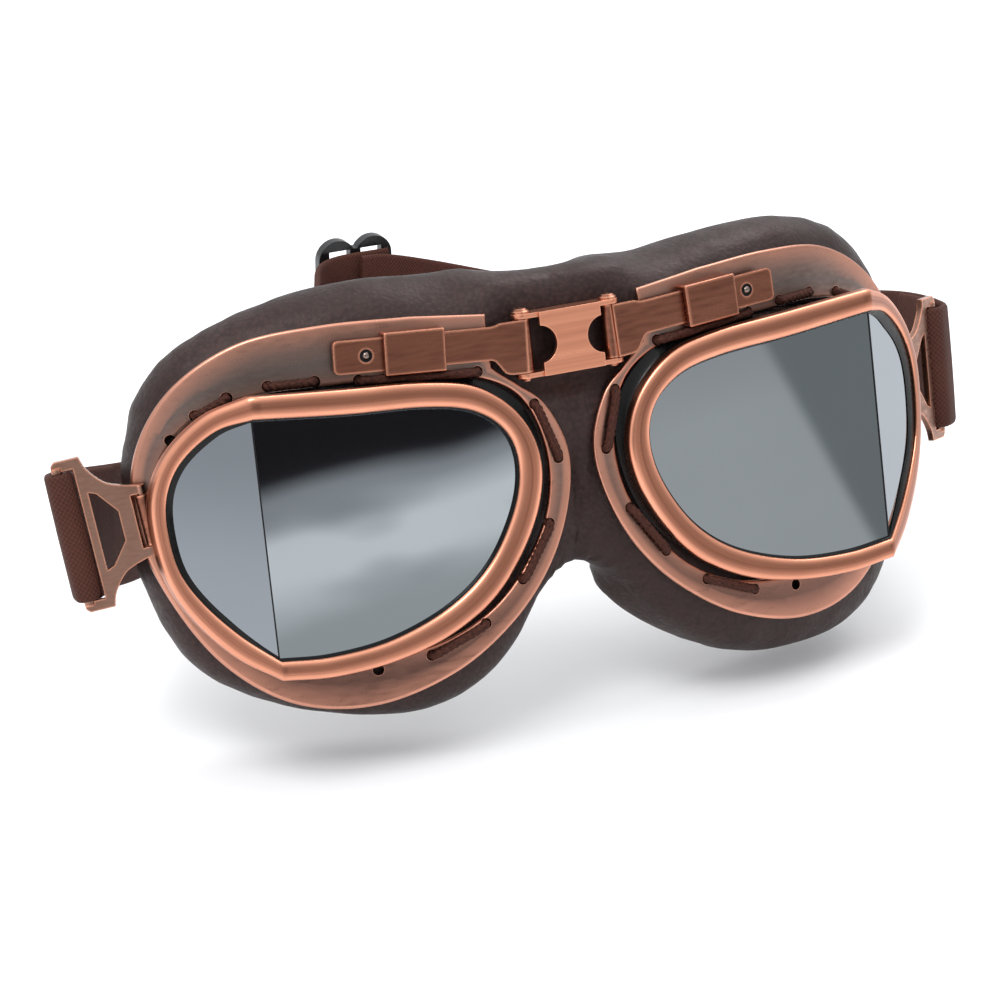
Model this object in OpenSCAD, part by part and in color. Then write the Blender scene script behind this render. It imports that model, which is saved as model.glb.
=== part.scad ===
// Aviator-style motorcycle goggles: two eyecups with split flat lenses on a hinged bridge,
// a padded face cushion, and an adjustable webbing strap on two swinging buckles.
// The front is designed upright (x across, y towards the wearer, z up) and then leaned back
// as the goggles stand on a table. Side +1 is the half at +X, side -1 is its mirror image.

/* [Stance] */
// Backward lean of the goggles as they stand, in degrees
lean = 14; // [12:1:15]
// Height of the upright design's zero above the table
seat_z = 26; // [26:0.5:30]
// Distance from the bridge back to the middle of the footprint
centre_y = 86.9; // [80:0.1:92]
// Distance from the bridge sideways to the middle of the footprint
centre_x = 1.7; // [0:0.1:3]

/* [Frame plate] */
// Radius that both frame plates are curved to
wrap_r = 172; // [165:1:180]
// Sheet thickness of the frame plate
plate_t = 1.1; // [0.8:0.1:1.4]
// Depth of the plates at the nose
front_y = -10.8; // [-11.2:0.1:-10.5]
// Diameter of the lacing holes
lace_hole_d = 2; // [1.8:0.1:2.2]
// Diameter of the lacing cord
lace_d = 1.6; // [1.4:0.1:1.7]

/* [Lens rim] */
// Distance from the centre to the crease between the two lens panes
kink_x = 64; // [63:0.5:65]
// Angle of the front pane, in degrees
front_angle = 2.2; // [1:0.1:3]
// Angle that the side pane sweeps back, in degrees
side_angle = 38.4; // [36:0.1:40]
// Front surface of the rim at the crease
kink_y = -10.5; // [-11:0.1:-10]
// Depth of the rim
rim_depth = 2.6; // [2.3:0.1:2.7]
// Thickness of a lens pane
lens_t = 1.4; // [1.2:0.1:1.4]

/* [Bridge] */
// Distance of each hinge pin from the centre
pin_x = 9; // [8.8:0.1:9.2]
// Depth of the hinge pins
pin_y = -9.3; // [-9.5:0.1:-9.1]
// Diameter of the hinge pins
pin_d = 1.6; // [1.4:0.1:1.8]
// Height of the middle of the bridge
bridge_z = 47.6; // [47:0.1:48]
// Outside height of the bridge link
link_h = 12; // [11.5:0.1:12.5]
// Sheet thickness of the link and the arms
sheet_t = 0.9; // [0.7:0.1:1]
// Height of the straight part of an arm
arm_h = 6.2; // [5.8:0.1:6.4]

/* [Buckles and strap] */
// Distance of each buckle hinge from the centre
lug_x = 79.9; // [79.8:0.1:80.2]
// Depth of the buckle hinges
lug_y = 7.3; // [7.2:0.1:7.4]
// Height of the buckle hinges
lug_z = 25.4; // [24:0.2:27]
// Swing of the left buckle, in degrees back from straight out
left_swing = 20; // [18:1:24]
// Swing of the right buckle, in degrees back from straight out
right_swing = 34; // [30:1:36]
// Droop of the left buckle, in degrees
left_droop = 7; // [4:1:8]
// Droop of the right buckle, in degrees
right_droop = 1; // [0:1:4]
// Width of the webbing
strap_w = 24; // [23:0.5:24]
// Thickness of the webbing
strap_t = 1.5; // [1.2:0.1:1.5]
// Depth of the strap adjuster behind the bridge
slider_y = 185; // [184:1:187]
// Distance of the strap adjuster from the centre
slider_x = 38.5; // [36:0.5:40]

/* [Hidden] */
$fn = 48;
STEPS = 4;                      // curve steps between two outline points
PLATE_TILT = 3;                 // degrees that the plates lean back above their middle
PLATE_MID_Z = 25;
RUN = 0.05;                     // running clearance of pins and bars
COPPER = "peru";
WEBBING = "saddlebrown";

// Outlines of the half at +X as [x, z] points, joined by smooth curves
RIM_OUT_FRONT = [[64, -5.4], [54, -6.5], [42, -5.8], [30, -2.7], [20, 3.6], [12.2, 14],
    [9.1, 25], [11.8, 34.5], [19.5, 41.5], [30, 44.2], [46, 45.5], [64, 47]];
RIM_OUT_SIDE = [[64, 47], [71, 44], [76.8, 38.2], [80, 31.5], [80.8, 24.5], [79.6, 15],
    [76.3, 7], [70.5, -0.6], [64, -5.4]];
RIM_IN_FRONT = [[64, -1.8], [54, -2.7], [42, -1.7], [30, 2.4], [21.5, 8.7], [15.6, 17.8],
    [13.6, 26], [15.5, 32.8], [21.5, 37.6], [31, 39.8], [46, 40.9], [64, 42.8]];
RIM_IN_SIDE = [[64, 42.8], [69.6, 41.2], [74.8, 36.6], [77.6, 31.3], [78.5, 25], [77.6, 16.6],
    [74.8, 10.3], [69.8, 3.7], [64, -1.8]];
PLATE_OUT = [[15.7, 44.6], [11, 40.6], [6, 36], [2.6, 27], [4.2, 16.5], [9.5, 6], [18, -3],
    [30, -10.4], [45, -14.2], [59, -12], [70, -3.5], [77.5, 9.5], [81.5, 24], [80, 37],
    [73, 48], [61, 55], [46, 56.6], [30, 56]];
PLATE_TONGUE = [[15.7, 54.4]];
PLATE_IN = [[7, 27], [8.3, 17], [13.6, 7.8], [21.2, 0.4], [31.6, -4.2], [44, -5.4], [56, -4.2],
    [66, 1.5], [73, 9.5], [77, 18], [77.6, 27], [75.6, 36], [69, 42.6], [58, 45.4],
    [44, 45.4], [28, 44.9], [16.5, 42.2], [10, 37]];
CUSHION_OUT = [[6.4, 27], [6.6, 12], [9.6, -4], [19, -15.5], [34, -21], [50, -21.6], [65, -17],
    [76.5, -4.5], [82.4, 12], [83.4, 28], [80.6, 43], [71.5, 54.2], [58, 60.6], [40, 62.6],
    [20, 61.4], [9.4, 53]];
CUSHION_IN = [[16, 27], [17.6, 18.6], [22.6, 11], [30, 5], [39.5, 1], [49, 0], [59, 1.6],
    [67, 6.4], [73, 14], [75.6, 24], [74, 33], [68, 39.6], [57, 41.4], [44, 41], [31, 39.6],
    [20, 34.6]];
LACE_HOLES = [[5, 26], [8.4, 36.6], [18.6, 44.2], [40.6, 45.8], [48.4, 46.6], [56.6, 46.8],
    [63.8, 45.6], [69.4, 43], [74, 39], [44, -7.6], [34, -6.4], [23.2, -2.2], [15, 4.8],
    [8.4, 14.2]];
STITCHES = [[0, 1], [2, 3], [4, 5], [6, 7], [10, 11], [12, 13]];

function curve(a, b, c, d, t) =
    ((2 * b) + (c - a) * t + (2 * a - 5 * b + 4 * c - d) * t * t + (3 * b - a - 3 * c + d) * t * t * t) / 2;
function closed_curve(p, n = STEPS) = let (m = len(p))
    [for (i = [0:m - 1]) for (k = [0:n - 1])
        curve(p[(i + m - 1) % m], p[i], p[(i + 1) % m], p[(i + 2) % m], k / n)];
function open_curve(p, n = STEPS) =
    let (m = len(p), first = 2 * p[0] - p[1], last = 2 * p[m - 1] - p[m - 2])
    [for (i = [0:m - 2]) for (k = [0:n - 1])
        curve(i > 0 ? p[i - 1] : first, p[i], p[i + 1], i < m - 2 ? p[i + 2] : last, k / n)];
function two_part(front, side) = concat(open_curve(front), open_curve(side));
function mix(a, b, t) = a * (1 - t) + b * t;
function unit(v) = v / norm(v);

// Depth of the rim's front surface and of the plate's front surface at [x, z]
function rim_y(p) = kink_y + (p.x - kink_x) * tan(p.x > kink_x ? side_angle : front_angle);
function plate_y(p) = front_y + wrap_r - sqrt(wrap_r * wrap_r - p.x * p.x)
    + (p.y - PLATE_MID_Z) * tan(PLATE_TILT);
// A point of the upright design in the frame of the whole object
function row(p) = [p.x - centre_x, p.y * cos(lean) + p.z * sin(lean) - centre_y,
    -p.y * sin(lean) + p.z * cos(lean) + seat_z];

// A closed ring or an open tube through a list of equal-sized sections
module ring_mesh(s) {
    n = len(s);
    m = len(s[0]);
    polyhedron([for (a = s) for (p = a) p], [for (i = [0:n - 1]) for (j = [0:m - 1])
        let (a = i * m + j, b = i * m + (j + 1) % m, c = ((i + 1) % n) * m + j,
            d = ((i + 1) % n) * m + (j + 1) % m) each [[a, c, b], [b, c, d]]], convexity = 8);
}
module tube_mesh(s) {
    n = len(s);
    m = len(s[0]);
    polyhedron([for (a = s) for (p = a) p], concat(
        [[for (j = [0:m - 1]) j], [for (j = [0:m - 1]) n * m - 1 - j]],
        [for (i = [0:n - 2]) for (j = [0:m - 1])
            let (a = i * m + j, b = i * m + (j + 1) % m, c = a + m, d = b + m)
                each [[a, c, b], [b, c, d]]]), convexity = 8);
}

// Places upright design geometry in the whole object, on either side
module stand() {
    translate([-centre_x, -centre_y, seat_z]) rotate([-lean, 0, 0]) children();
}
module half(side) {
    stand() mirror([side < 0 ? 1 : 0, 0, 0]) children();
}
module along_y(from, to) {
    translate([0, to, 0]) rotate([90, 0, 0]) linear_extrude(to - from) children();
}

// ---- bridge ----
LINK_W = 12.6;
LINK_FRONT = -11.7;
NOTCH_R = 3.5;
EAR_R = 1.9;
module bridge_link() color(COPPER) stand() {
    ear_z = link_h / 2 - sheet_t;
    along_y(LINK_FRONT, LINK_FRONT + sheet_t) difference() {
        translate([-LINK_W / 2, bridge_z - link_h / 2]) square([LINK_W, link_h]);
        for (s = [-1, 1]) translate([s * (LINK_W / 2 + 0.4), bridge_z]) circle(NOTCH_R);
    }
    for (s = [-1, 1]) translate([0, 0, bridge_z + (s > 0 ? ear_z : -link_h / 2)]) {
        linear_extrude(sheet_t) difference() {
            union() {
                translate([-LINK_W / 2, LINK_FRONT]) square([LINK_W, pin_y + EAR_R - LINK_FRONT]);
                for (e = [-1, 1]) translate([e * pin_x, pin_y]) circle(EAR_R);
                translate([-pin_x, pin_y - EAR_R]) square([2 * pin_x, 2 * EAR_R]);
            }
            for (e = [-1, 1]) translate([e * pin_x, pin_y]) circle(d = pin_d);
        }
    }
}

HEAD_D = 3.4;
module hinge_pins() color(COPPER) stand()
    for (s = [-1, 1]) translate([s * pin_x, pin_y, bridge_z]) {
        translate([0, 0, -link_h / 2 - 0.4]) cylinder(d = pin_d, h = link_h + 0.6);
        translate([0, 0, link_h / 2]) rotate_extrude()
            polygon([[0, 0], [HEAD_D / 2, 0], [HEAD_D / 2, 0.35], [1.1, 0.9], [0, 1.1]]);
        translate([0, 0, -link_h / 2 - 0.6]) cylinder(d1 = 1.6, d2 = 2.3, h = 0.6);
    }

KNUCKLE_H = 10;
KNUCKLE_R = 1.6;
ARM_END_X = 45.6;
ARM_RISE = 3.4;                 // how much higher the arm's outer end is than the hinge
ARM_START = [10.4, -10.8];
ARM_END = [ARM_END_X, -5.65];
ARM_DIR = ARM_END - ARM_START;
ARM_YAW = atan2(ARM_DIR.y, ARM_DIR.x);
ARM_L = norm(ARM_DIR);
ARM_PITCH = 3;                  // degrees that the arm rises outwards
STOP_D = 2.4;
STOP_U = 29.4;
// The arm's own frame: x outwards along it, z up, y through its thickness
module at_arm() {
    translate([ARM_START.x, ARM_START.y, bridge_z + 1.2]) rotate([0, 0, ARM_YAW])
        rotate([0, -ARM_PITCH, 0]) children();
}
module bridge_arm(side) color(COPPER) half(side) {
    difference() {
        union() {
            translate([pin_x, pin_y, bridge_z - KNUCKLE_H / 2]) cylinder(r = KNUCKLE_R, h = KNUCKLE_H);
            at_arm() along_y(-sheet_t / 2, sheet_t / 2) polygon(concat(
                [[-1.4, -6.1], [1.6, -6.1]],
                [for (t = [0:0.2:1]) [mix(2.4, 5.6, t), mix(-6.0, -arm_h / 2, (1 - cos(180 * t)) / 2)]],
                [for (a = [-90:30:0]) [ARM_L - 1 + cos(a), -arm_h / 2 + 1 + sin(a)]],
                [for (a = [0:30:90]) [ARM_L - 1 + cos(a), arm_h / 2 - 1 + sin(a)]],
                [for (t = [1:-0.2:0]) [mix(2.4, 5.6, t), mix(3.9, arm_h / 2, (1 - cos(180 * t)) / 2)]],
                [[-1.4, 3.9]]));
        }
        translate([pin_x, pin_y, bridge_z - link_h]) cylinder(r = pin_d / 2 + RUN, h = 2 * link_h);
        for (s = [0, 1]) translate([0, -20, bridge_z + (s ? KNUCKLE_H / 2 : -KNUCKLE_H / 2 - 5)])
            cube([20, 20, 5]);
        at_arm() translate([STOP_U, 5, 0]) rotate([90, 0, 0]) cylinder(d = STOP_D, h = 10);
    }
}
module width_stop(side) color("silver") half(side) at_arm()
    translate([STOP_U, sheet_t / 2, 0]) rotate([90, 0, 0]) {
        cylinder(d = STOP_D, h = 0.3);
        translate([0, 0, 0.3]) rotate_extrude() polygon([[0, 0], [0.8, 0], [0.6, 0.35], [0, 0.5]]);
    }

BLOCK_U = 14.6;
BLOCK_L = 11.6;
BLOCK_H = 8;
BLOCK_FRONT = 1.75;
BLOCK_BACK = 1.3;
module clamp_block(side) color(COPPER) half(side) at_arm() difference() {
    translate([BLOCK_U, -BLOCK_FRONT, -BLOCK_H / 2])
        cube([BLOCK_L, BLOCK_FRONT + BLOCK_BACK, BLOCK_H]);
    translate([BLOCK_U - 1, -sheet_t / 2 - RUN, -arm_h / 2 - RUN])
        cube([BLOCK_L + 2, sheet_t + 2 * RUN, arm_h + 2 * RUN]);
}

// ---- eyecup ----
module frame_plate(side) color("rosybrown") half(side) difference() {
    intersection() {
        translate([0, front_y + wrap_r, PLATE_MID_Z]) rotate([-PLATE_TILT, 0, 0]) difference() {
            cylinder(r = wrap_r, h = 110, center = true, $fn = 96);
            cylinder(r = wrap_r - plate_t, h = 112, center = true, $fn = 96);
        }
        along_y(-20, 30) difference() {
            polygon(concat(open_curve(PLATE_OUT), [[30, 56]], PLATE_TONGUE));
            polygon(closed_curve(PLATE_IN));
        }
    }
    for (p = LACE_HOLES) translate([p.x, 30, p.y]) rotate([90, 0, 0]) cylinder(d = lace_hole_d, h = 60);
    translate([lug_x - 1.3, -5, lug_z - 9]) cube([5, 30, 18]);
}

// Rim section: share of the width from the inner to the outer outline, and depth
RIM_SECTION = [[0, 0.6], [0.16, 0.08], [0.5, -0.12], [0.84, 0.08], [1, 0.6], [1, 0], [0.6, 0],
    [0.6, 1.5], [0, 1.5]];
module lens_rim(side) {
    outer = two_part(RIM_OUT_FRONT, RIM_OUT_SIDE);
    inner = two_part(RIM_IN_FRONT, RIM_IN_SIDE);
    color(COPPER) half(side) ring_mesh([for (i = [0:len(outer) - 1])
        [for (k = [0:len(RIM_SECTION) - 1]) let (q = RIM_SECTION[k], p = mix(inner[i], outer[i], q.x),
            d = k == 5 || k == 6 ? rim_depth : q.y) [p.x, rim_y(p) + d, p.y]]]);
}

GASKET_T = 1.4;
// The gasket runs from inside the plate's opening to the back of the rim
module lens_gasket(side) {
    front = two_part(RIM_OUT_FRONT, RIM_OUT_SIDE);
    inner = two_part(RIM_IN_FRONT, RIM_IN_SIDE);
    base = closed_curve(GASKET_BASE);
    color([0.08, 0.08, 0.08]) half(side) difference() {
        ring_mesh([for (i = [0:len(front) - 1])
            let (f0 = mix(inner[i], front[i], 0.6), f1 = mix(inner[i], front[i], 0.94),
                b1 = base[i], b0 = b1 + (f0 - f1) * (GASKET_T / norm(f0 - f1)))
            [[f0.x, rim_y(f0) + rim_depth, f0.y], [f1.x, rim_y(f1) + rim_depth, f1.y],
                [b1.x, plate_y(b1) + 0.8, b1.y], [b0.x, plate_y(b0) + 0.8, b0.y]]]);
        translate([lug_x, lug_y, lug_z]) cylinder(r = LUG_R + 0.6, h = 16, center = true);
        lug_tab(0.3);
    }
}
GASKET_BASE = [[63, -1.2], [54, -3.9], [42, -4.2], [31, -2.2], [21.5, 2.4], [11.6, 12.2],
    [7.7, 25], [10.2, 36.2], [19.6, 43.6], [30, 45.2], [46, 45.4], [62, 44.1],
    [70, 40.8], [75, 35.6], [77, 30], [77, 22.6], [75.2, 15], [72.2, 9], [68, 4]];

function pane_outline(inner, outer, angle) =
    [for (i = [0:len(inner) - 1]) let (p = mix(inner[i], outer[i], 0.5))
        [(p.x - kink_x) / cos(angle), p.y]];
function with_end(p) = concat(open_curve(p), [p[len(p) - 1]]);
module pane(side, inner, outer, angle) {
    half(side) translate([kink_x, kink_y + 1.55, 0]) rotate([0, 0, angle])
        along_y(0, lens_t) polygon(pane_outline(with_end(inner), with_end(outer), angle));
}
module lens_front(side) color([0.55, 0.6, 0.65, 0.6])
    pane(side, RIM_IN_FRONT, RIM_OUT_FRONT, front_angle);
module lens_side(side) color([0.65, 0.7, 0.75, 0.6])
    pane(side, RIM_IN_SIDE, RIM_OUT_SIDE, side_angle);

// Each stitch comes up through one hole, lies on the plate and goes down through the next.
// A stitch's steps are how far it is from its hole along the plate and in front of the plate.
LACE_SIDES = 8;
STITCH_END = [[0, -plate_t - 0.1], [0, -0.3], [0.35, 0.45], [1.3, lace_d / 2 + 0.04]];
module stitch(p, q) {
    ahead = unit(q - p);
    path = with_end(concat(
        [for (e = STITCH_END) let (h = p + ahead * e.x) [h.x, plate_y(h) - e.y, h.y]],
        [let (h = (p + q) / 2) [h.x, plate_y(h) - lace_d / 2 - 0.04, h.y]],
        [for (k = [len(STITCH_END) - 1:-1:0]) let (e = STITCH_END[k], h = q - ahead * e.x)
            [h.x, plate_y(h) - e.y, h.y]]));
    n = len(path);
    side = unit(cross([0, 1, 0], [ahead.x, 0, ahead.y]));
    tube_mesh([for (i = [0:n - 1])
        let (along = unit(path[min(i + 1, n - 1)] - path[max(i - 1, 0)]), up = unit(cross(along, side)),
            r = lace_d / 2 * (min(i, n - 1 - i) < 2.5 * STEPS ? 0.8 : 1))
            [for (k = [0:LACE_SIDES - 1]) path[i]
                + (side * cos(360 * k / LACE_SIDES) + up * sin(360 * k / LACE_SIDES)) * r]]);
}
module lace(side) color(WEBBING) half(side)
    for (s = STITCHES) stitch(LACE_HOLES[s[0]], LACE_HOLES[s[1]]);

// ---- buckles ----
BAR_R = 0.75;
LUG_H = 9.4;
LUG_R = 1.35;
TAB_H = 8.2;
LUG_TAB = [[-4.6, 1.25], [4.3, 0.7]];
PLATE_SLOPE = asin(lug_x / wrap_r);
STRAP_BAR_U = 14;
STRAP_BAR_R = 1;
STRAP_EYE_R = 2.7;
BUCKLE_T = 1.2;
// The buckle's own frame: x outwards along it, z along its bars
module at_buckle(side) {
    half(side) translate([lug_x, lug_y, lug_z]) rotate([0, 0, side < 0 ? left_swing : right_swing])
        rotate([0, side < 0 ? left_droop : right_droop, 0]) children();
}
// The strip that joins the lug's barrel to the plate, or the space for it
module lug_tab(gap) {
    translate([lug_x, lug_y, lug_z]) rotate([0, 0, PLATE_SLOPE])
        translate([LUG_TAB[0].x - gap, LUG_TAB[0].y - gap, -TAB_H / 2 - gap])
            cube([LUG_TAB[1].x + 2 * gap, LUG_TAB[1].y + 2 * gap, TAB_H + 2 * gap]);
}
module buckle_lug(side) {
    color(COPPER) difference() {
        union() {
            at_buckle(side) cylinder(r = LUG_R, h = LUG_H, center = true);
            half(side) lug_tab(0);
        }
        at_buckle(side) cylinder(r = BAR_R + RUN, h = 2 * LUG_H, center = true);
    }
}
BUCKLE_EDGE = [[-0.2, 6.5], [3.2, 7.3], [6.2, 8.6], [8.7, 11.6], [9.6, 14.2]];
WINDOW_EDGE = [[4.9, 2.8], [8, 6.8]];
module strap_buckle(side) color(COPPER) at_buckle(side) {
    slot_h = LUG_H + 0.6;
    top = with_end(BUCKLE_EDGE);
    eye_u = STRAP_BAR_U - STRAP_EYE_R - 0.3;
    along_y(-BUCKLE_T / 2, BUCKLE_T / 2) difference() {
        polygon(concat(top, [[STRAP_BAR_U + 0.2, 14.2], [STRAP_BAR_U + 0.9, 13.5],
            [STRAP_BAR_U + 0.9, -13.5], [STRAP_BAR_U + 0.2, -14.2]],
            [for (i = [len(top) - 1:-1:0]) [top[i].x, -top[i].y]]));
        translate([-1, -slot_h / 2]) square([3.1, slot_h]);
        polygon(concat([for (p = WINDOW_EDGE) p], [[9.4, 7.4], [9.4, -7.4]],
            [for (i = [1:-1:0]) [WINDOW_EDGE[i].x, -WINDOW_EDGE[i].y]]));
        translate([eye_u, -strap_w / 2 - 0.3]) square([STRAP_BAR_U + 1 - eye_u, strap_w + 0.6]);
    }
    cylinder(r = BAR_R, h = 13, center = true);
    translate([STRAP_BAR_U, 0, 0]) cylinder(r = STRAP_BAR_R, h = strap_w + 2, center = true);
}

// ---- cushion ----
CUSHION_DEPTH = 19;
CUSHION_TAPER = 5.5;            // how much thinner the cushion is at its outer end
LINING_T = 1.6;
// Share of the width from the inner to the outer outline, and share of the depth
CUSHION_SECTION = [[0, 0.12], [0.1, 0], [0.62, 0], [0.86, 0.14], [1, 0.42], [1, 0.66],
    [0.86, 0.92], [0.6, 1], [0.2, 1], [0.04, 0.86]];
function cushion_depth(x) = CUSHION_DEPTH - CUSHION_TAPER * pow(max(0, x - 30) / 54, 2);
function cushion_point(a, b, q) = let (p = mix(a, b, q.x))
    [p.x, plate_y(p) + plate_t + 0.25 + q.y * cushion_depth(p.x), p.y];
module cushion(side) {
    outer = closed_curve(CUSHION_OUT);
    inner = closed_curve(CUSHION_IN);
    color([0.24, 0.19, 0.18]) half(side) ring_mesh([for (i = [0:len(outer) - 1])
        [for (q = CUSHION_SECTION) cushion_point(inner[i], outer[i], q)]]);
}
module face_lining(side) {
    outer = closed_curve(CUSHION_OUT);
    inner = closed_curve(CUSHION_IN);
    color("dimgray") half(side) ring_mesh([for (i = [0:len(outer) - 1])
        [for (q = [[0.22, 1], [0.58, 1]]) cushion_point(inner[i], outer[i], q) + [0, 0.2, 0],
            for (q = [[0.58, 1], [0.22, 1]]) cushion_point(inner[i], outer[i], q) + [0, LINING_T, 0]]]);
}
module nose_pad() color([0.24, 0.19, 0.18]) stand()
    along_y(-7.2, -1.6) translate([0, 3]) polygon([[-2.2, 0], [-1.2, -1.6], [1.2, -1.6], [2.2, 0],
        [2.2, 54.5], [1.2, 55.6], [-1.2, 55.6], [-2.2, 54.5]]);

// ---- strap ----
// Middle line of each run from its buckle to the adjuster, as [x, y, z] with x and y from the
// middle of the bridge and z above the table
LEFT_RUN = [[-94.1, 18.9, 45.5], [-90.8, 23.2, 43.6], [-86.2, 29.2, 41.2], [-78, 38.4, 37.2],
    [-66, 52.5, 31.6], [-50, 74, 25.2], [-30, 100, 19.6], [-7, 128, 16.4], [14, 152, 15], [22, 168, 15],
    [26.6, 177.6, 15], [31, 181.6, 15], [36, 182.8, 15], [46, 182.8, 15]];
RIGHT_RUN = [[93.2, 21.6, 46.5], [96.4, 26.4, 45.2], [98.8, 34.4, 43.5], [99.5, 48, 40], [97.4, 66, 34.4],
    [92.6, 88, 27.4], [85, 112, 20.8], [74.6, 136, 16.2], [62.6, 158, 14.4], [53, 172.2, 14.2],
    [44, 179.7, 14.8], [38, 180.3, 15]];
function bar_point(side, v) = let (swing = side < 0 ? left_swing : right_swing,
    droop = side < 0 ? left_droop : right_droop,
    u1 = STRAP_BAR_U * cos(droop) + v * sin(droop), z1 = -STRAP_BAR_U * sin(droop) + v * cos(droop))
    row([side * (lug_x + u1 * cos(swing)), lug_y + u1 * sin(swing), lug_z + z1]);
module strap_run(side, run) {
    path = with_end([for (p = run) [p.x - centre_x, p.y - centre_y, p.z]]);
    bar_up = unit(bar_point(side, 1) - bar_point(side, 0));
    n = len(path);
    tube_mesh([for (i = [0:n - 1]) let (
        along = unit(path[min(i + 1, n - 1)] - path[max(i - 1, 0)]),
        up0 = mix(bar_up, [0, 0, 1], min(1, i / (3 * STEPS))),
        up = unit(up0 - along * (along * up0)),
        out = cross(along, up) * (strap_t / 2), rise = up * (strap_w / 2))
        [path[i] - out + rise, path[i] + out + rise, path[i] + out - rise, path[i] - out - rise]]);
}
module strap(side, run) color(WEBBING) {
    at_buckle(side) translate([STRAP_BAR_U, 0, 0]) difference() {
        cylinder(r = STRAP_EYE_R, h = strap_w, center = true);
        cylinder(r = STRAP_BAR_R + RUN, h = strap_w + 2, center = true);
    }
    strap_run(side, run);
}

SLIDER_W = 18;
SLIDER_H = 30;
SLIDER_T = 2.4;
SLIDER_BAR = 2.6;
LOBE_R = 4.6;
module strap_slider() color([0.07, 0.07, 0.07])
    translate([slider_x - centre_x, slider_y - centre_y, SLIDER_H / 2]) along_y(-SLIDER_T / 2, SLIDER_T / 2)
        difference() {
            union() {
                square([SLIDER_W, SLIDER_H - 2 * LOBE_R], center = true);
                for (x = [-1, 1], z = [-1, 1])
                    translate([x * (SLIDER_W / 2 - LOBE_R), z * (SLIDER_H / 2 - LOBE_R)]) {
                        circle(LOBE_R);
                        if (z < 0) translate([-LOBE_R, -LOBE_R]) square([2 * LOBE_R, LOBE_R]);
                    }
                square([SLIDER_W - 2 * LOBE_R, SLIDER_H - LOBE_R], center = true);
            }
            for (x = [-1, 1]) translate([x * (SLIDER_W / 4 - SLIDER_BAR / 4), 0])
                square([SLIDER_W / 2 - 1.5 * SLIDER_BAR, strap_w + 1], center = true);
        }

bridge_link();
hinge_pins();
nose_pad();
strap_slider();
strap(-1, LEFT_RUN);  // strap_left
strap(1, RIGHT_RUN);  // strap_right
for (side = [-1, 1]) {
    hand = side < 0 ? "_left" : "_right";
    bridge_arm(side);
    width_stop(side);
    frame_plate(side);
    clamp_block(side);
    lens_rim(side);
    lens_gasket(side);
    lens_front(side);
    lens_side(side);
    lace(side);
    buckle_lug(side);
    cushion(side);
    face_lining(side);
    strap_buckle(side);
}
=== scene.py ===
import math

import bmesh
import bpy
import numpy as np
from mathutils import Matrix, Vector, noise


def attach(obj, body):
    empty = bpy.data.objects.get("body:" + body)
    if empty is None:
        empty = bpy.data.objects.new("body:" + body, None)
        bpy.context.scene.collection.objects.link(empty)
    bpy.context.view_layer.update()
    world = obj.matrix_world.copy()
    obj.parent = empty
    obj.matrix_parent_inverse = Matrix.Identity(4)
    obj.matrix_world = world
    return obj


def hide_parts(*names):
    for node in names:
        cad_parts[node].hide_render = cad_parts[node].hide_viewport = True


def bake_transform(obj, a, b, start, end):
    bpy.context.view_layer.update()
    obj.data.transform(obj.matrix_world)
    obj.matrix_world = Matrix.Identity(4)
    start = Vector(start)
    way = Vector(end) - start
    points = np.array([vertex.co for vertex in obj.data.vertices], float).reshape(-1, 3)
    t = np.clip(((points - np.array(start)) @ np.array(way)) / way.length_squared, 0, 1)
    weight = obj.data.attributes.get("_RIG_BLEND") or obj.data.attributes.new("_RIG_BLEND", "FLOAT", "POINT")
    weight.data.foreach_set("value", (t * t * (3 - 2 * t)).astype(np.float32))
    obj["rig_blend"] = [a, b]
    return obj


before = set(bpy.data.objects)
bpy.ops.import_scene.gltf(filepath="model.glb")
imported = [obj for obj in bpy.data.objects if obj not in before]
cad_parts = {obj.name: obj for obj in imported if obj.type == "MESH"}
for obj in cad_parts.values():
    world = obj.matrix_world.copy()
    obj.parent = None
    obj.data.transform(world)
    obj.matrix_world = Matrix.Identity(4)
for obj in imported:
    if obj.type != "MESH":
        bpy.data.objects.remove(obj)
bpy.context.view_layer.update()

# ---- camera
# The goggles are designed upright, in millimetres. They stand leaned back, with CENTRE at the frame's origin.
MM = 0.001
LEAN = math.radians(14)
CENTRE = np.array([1.7, 86.9, -26.0])
SIDES = {"left": -1, "right": 1}
CAMERA_TARGET = Vector((-16.73, -86.9, 45.58)) * MM
CAMERA_AZIMUTH = math.radians(-26.06)
CAMERA_ELEVATION = math.radians(22.9)
CAMERA_DISTANCE = 0.83605
CAMERA_SENSOR, CAMERA_LENS = 36, 162


def placed(point, right, up, back):
    """The matrix of something at a point whose own axes are the three directions."""
    return Matrix.Translation(point) @ Matrix((right, up, back)).transposed().to_4x4()


def add_camera():
    """The camera at the product shot's angle."""
    data = bpy.data.cameras.new("camera")
    data.sensor_width = CAMERA_SENSOR
    data.lens = CAMERA_LENS
    data.clip_end = 50
    camera = bpy.data.objects.new("camera", data)
    back = Vector((math.sin(CAMERA_AZIMUTH) * math.cos(CAMERA_ELEVATION),
                   -math.cos(CAMERA_AZIMUTH) * math.cos(CAMERA_ELEVATION),
                   math.sin(CAMERA_ELEVATION)))
    right = Vector((math.cos(CAMERA_AZIMUTH), math.sin(CAMERA_AZIMUTH), 0))
    up = back.cross(right)
    camera.matrix_world = placed(CAMERA_TARGET + back * CAMERA_DISTANCE, right, up, back)
    bpy.context.scene.collection.objects.link(camera)
    bpy.context.scene.camera = camera


add_camera()


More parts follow.
